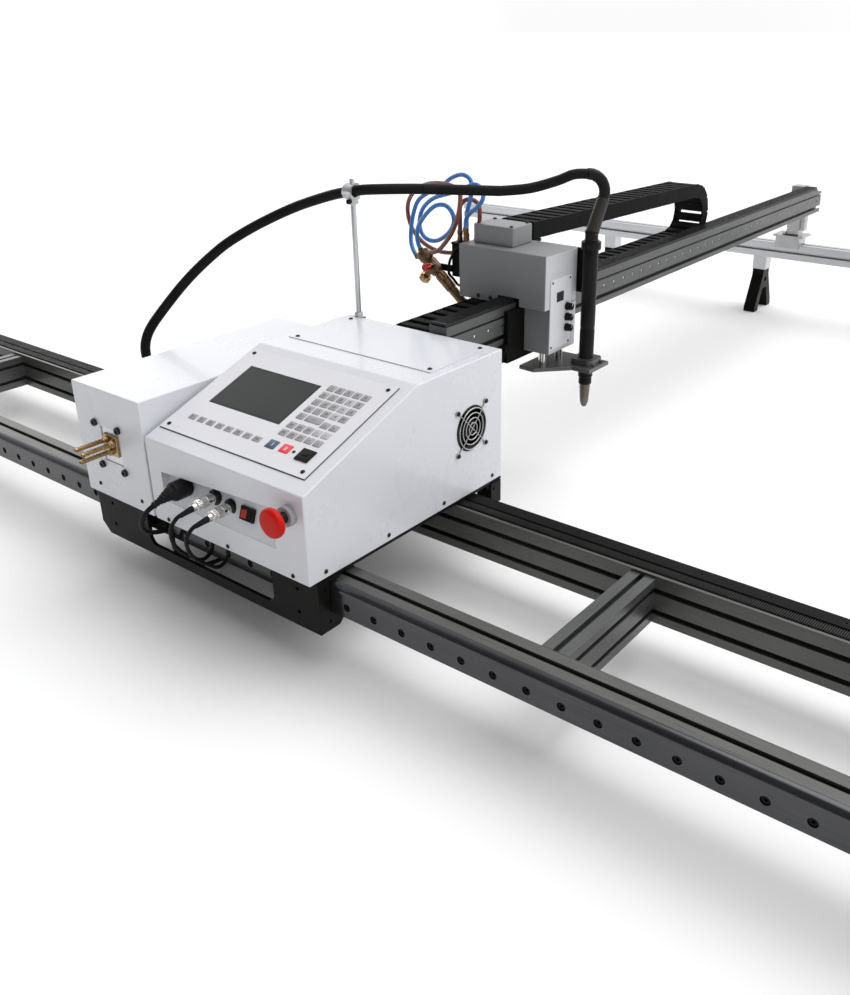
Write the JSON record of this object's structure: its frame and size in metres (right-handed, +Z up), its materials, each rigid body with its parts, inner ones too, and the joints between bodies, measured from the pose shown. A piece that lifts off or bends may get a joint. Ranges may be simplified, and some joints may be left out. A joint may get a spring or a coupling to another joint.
{
  "type": "cnc cutting machine",
  "caption": "Portable CNC gantry cutting machine: white control cabinet on a floor track, cross beam with cable chain, torch lifter with plasma and hand torches.",
  "frame": {"origin": "centre of the machine's footprint on the floor: halfway along the track, halfway from front to back", "axes": "+X along the track to the operator's right, +Y along the cross beam away from the operator, +Z up"},
  "size_m": [2.7, 2.3581, 0.6176],
  "materials": {
    "beam_steel": "extruded, dull grey",
    "rail_steel": "ground bright on the edges",
    "black_steel": "satin black",
    "bright_aluminium": "anodised, satin",
    "white_paint": "white powder coat",
    "grey_paint": "light grey powder coat",
    "brass": "dull machined brass",
    "screen_glass": "dark unlit display",
    "grey_plastic": "matte light grey",
    "black_rubber": "matte black",
    "nickel": "nickel plated",
    "black_plastic": "matte black",
    "red_plastic": "glossy red",
    "blue_rubber": "glossy blue hose"
  },
  "bodies": {
    "track": {"front_beam": "beam_steel", "front_rail": "rail_steel", "rear_beam": "beam_steel", "drive_rack": "black_steel", "rear_strip": "rail_steel", "cross_ties": "beam_steel", "track_feet": "black_steel", "rail_screws": "black_steel", "support_rail": "bright_aluminium", "support_legs": "bright_aluminium", "support_feet": "black_steel"},
    "carriage": {"deck_plate": "black_steel", "front_bracket": "black_steel", "rear_bracket": "black_steel", "guide_shoes": "rail_steel", "main_cabinet": "white_paint", "top_cover": "white_paint", "gas_cabinet": "white_paint", "gas_manifold": "brass", "control_panel": "white_paint", "screen": "screen_glass", "keypad": "grey_plastic", "mains_plug": "black_rubber", "mains_lead": "black_rubber", "lead_coil": "black_rubber", "signal_plugs": "nickel", "signal_cables": "black_rubber", "rocker_frame": "black_plastic", "estop_collar": "grey_plastic", "fan_frame": "black_plastic", "cabinet_screws": "black_steel", "hose_pole": "bright_aluminium", "hose_mounts": "bright_aluminium", "drive_motor": "black_steel", "cross_beam": "beam_steel", "beam_rack": "black_steel", "chain_tray": "black_steel", "chain_lower": "black_plastic", "end_truck": "rail_steel", "torch_hose": "black_rubber"},
    "pinion": {"drive_pinion": "rail_steel"},
    "fan": {"fan_rotor": "black_plastic"},
    "rocker": {"rocker_button": "red_plastic"},
    "stop_stem": {"estop_stem": "black_plastic"},
    "stop_head": {"estop_head": "red_plastic"},
    "chain_bend": {"chain_loop": "black_plastic"},
    "lifter": {"lifter_truck": "black_steel", "cross_motor": "grey_paint", "lifter_box": "grey_paint", "control_plate": "white_paint", "hand_torch": "brass", "gas_hoses": "blue_rubber", "chain_upper": "black_plastic"},
    "upper_knob": {"knob_upper": "black_plastic"},
    "middle_knob": {"knob_middle": "black_plastic"},
    "lower_knob": {"knob_lower": "black_plastic"},
    "torch_lift": {"torch_slide": "rail_steel", "plasma_torch": "black_plastic"},
    "oxygen_valve": {"oxygen_knob": "red_plastic"},
    "fuel_valve": {"fuel_knob": "brass"}
  },
  "joints": [
    {"name": "carriage_travel", "type": "slide", "parent": "track", "child": "carriage", "axis": [1, 0, 0], "range_m": [-1.14, 0.74]},
    {"name": "pinion_turn", "type": "hinge", "parent": "carriage", "child": "pinion", "pos_m": [0.305, -0.77872, 0.16215], "axis": [0, 1, 0], "continuous": true},
    {"name": "fan_spin", "type": "hinge", "parent": "carriage", "child": "fan", "pos_m": [0.475, -0.75372, 0.26305], "axis": [1, 0, 0], "continuous": true},
    {"name": "rocker_tilt", "type": "hinge", "parent": "carriage", "child": "rocker", "pos_m": [0.363, -1.10722, 0.21765], "axis": [0, 0.3347, 0.9423], "range_deg": [-18, 0]},
    {"name": "stop_twist", "type": "hinge", "parent": "carriage", "child": "stop_stem", "pos_m": [0.462, -1.11772, 0.25265], "axis": [0, 1, 0], "range_deg": [0, 45], "stiffness_Nm_per_rad": 0.2},
    {"name": "stop_press", "type": "slide", "parent": "stop_stem", "child": "stop_head", "axis": [0, 1, 0], "range_m": [0, 0.004]},
    {"name": "chain_roll", "type": "slide", "parent": "carriage", "child": "chain_bend", "axis": [0, 1, 0], "range_m": [-0.02, 0.62]},
    {"name": "lifter_travel", "type": "slide", "parent": "carriage", "child": "lifter", "axis": [0, 1, 0], "range_m": [-0.035, 1.24], "deforming": ["chain_upper", "torch_hose"]},
    {"name": "knob_upper_turn", "type": "hinge", "parent": "lifter", "child": "upper_knob", "pos_m": [0.443, -0.39905, 0.37411], "axis": [1, 0, 0], "range_deg": [-135, 135]},
    {"name": "knob_middle_turn", "type": "hinge", "parent": "lifter", "child": "middle_knob", "pos_m": [0.443, -0.39905, 0.35426], "axis": [1, 0, 0], "range_deg": [-135, 135]},
    {"name": "knob_lower_turn", "type": "hinge", "parent": "lifter", "child": "lower_knob", "pos_m": [0.443, -0.39905, 0.3344], "axis": [1, 0, 0], "range_deg": [-135, 135]},
    {"name": "torch_height", "type": "slide", "parent": "lifter", "child": "torch_lift", "axis": [0, 0, 1], "range_m": [-0.12, 0.012], "deforming": ["torch_hose"]},
    {"name": "oxygen_turn", "type": "hinge", "parent": "lifter", "child": "oxygen_valve", "pos_m": [0.17548, -0.4816, 0.42427], "axis": [0, 1, 0], "range_deg": [-540, 0]},
    {"name": "fuel_turn", "type": "hinge", "parent": "lifter", "child": "fuel_valve", "pos_m": [0.15014, -0.45443, 0.39696], "axis": [-0.6389, 0, -0.7693], "range_deg": [-540, 0]}
  ],
  "couplings": [
    {"joint": "pinion_turn", "follows": "carriage_travel", "rad_per_m": 50},
    {"joint": "chain_roll", "follows": "lifter_travel", "ratio": 0.5}
  ]
}
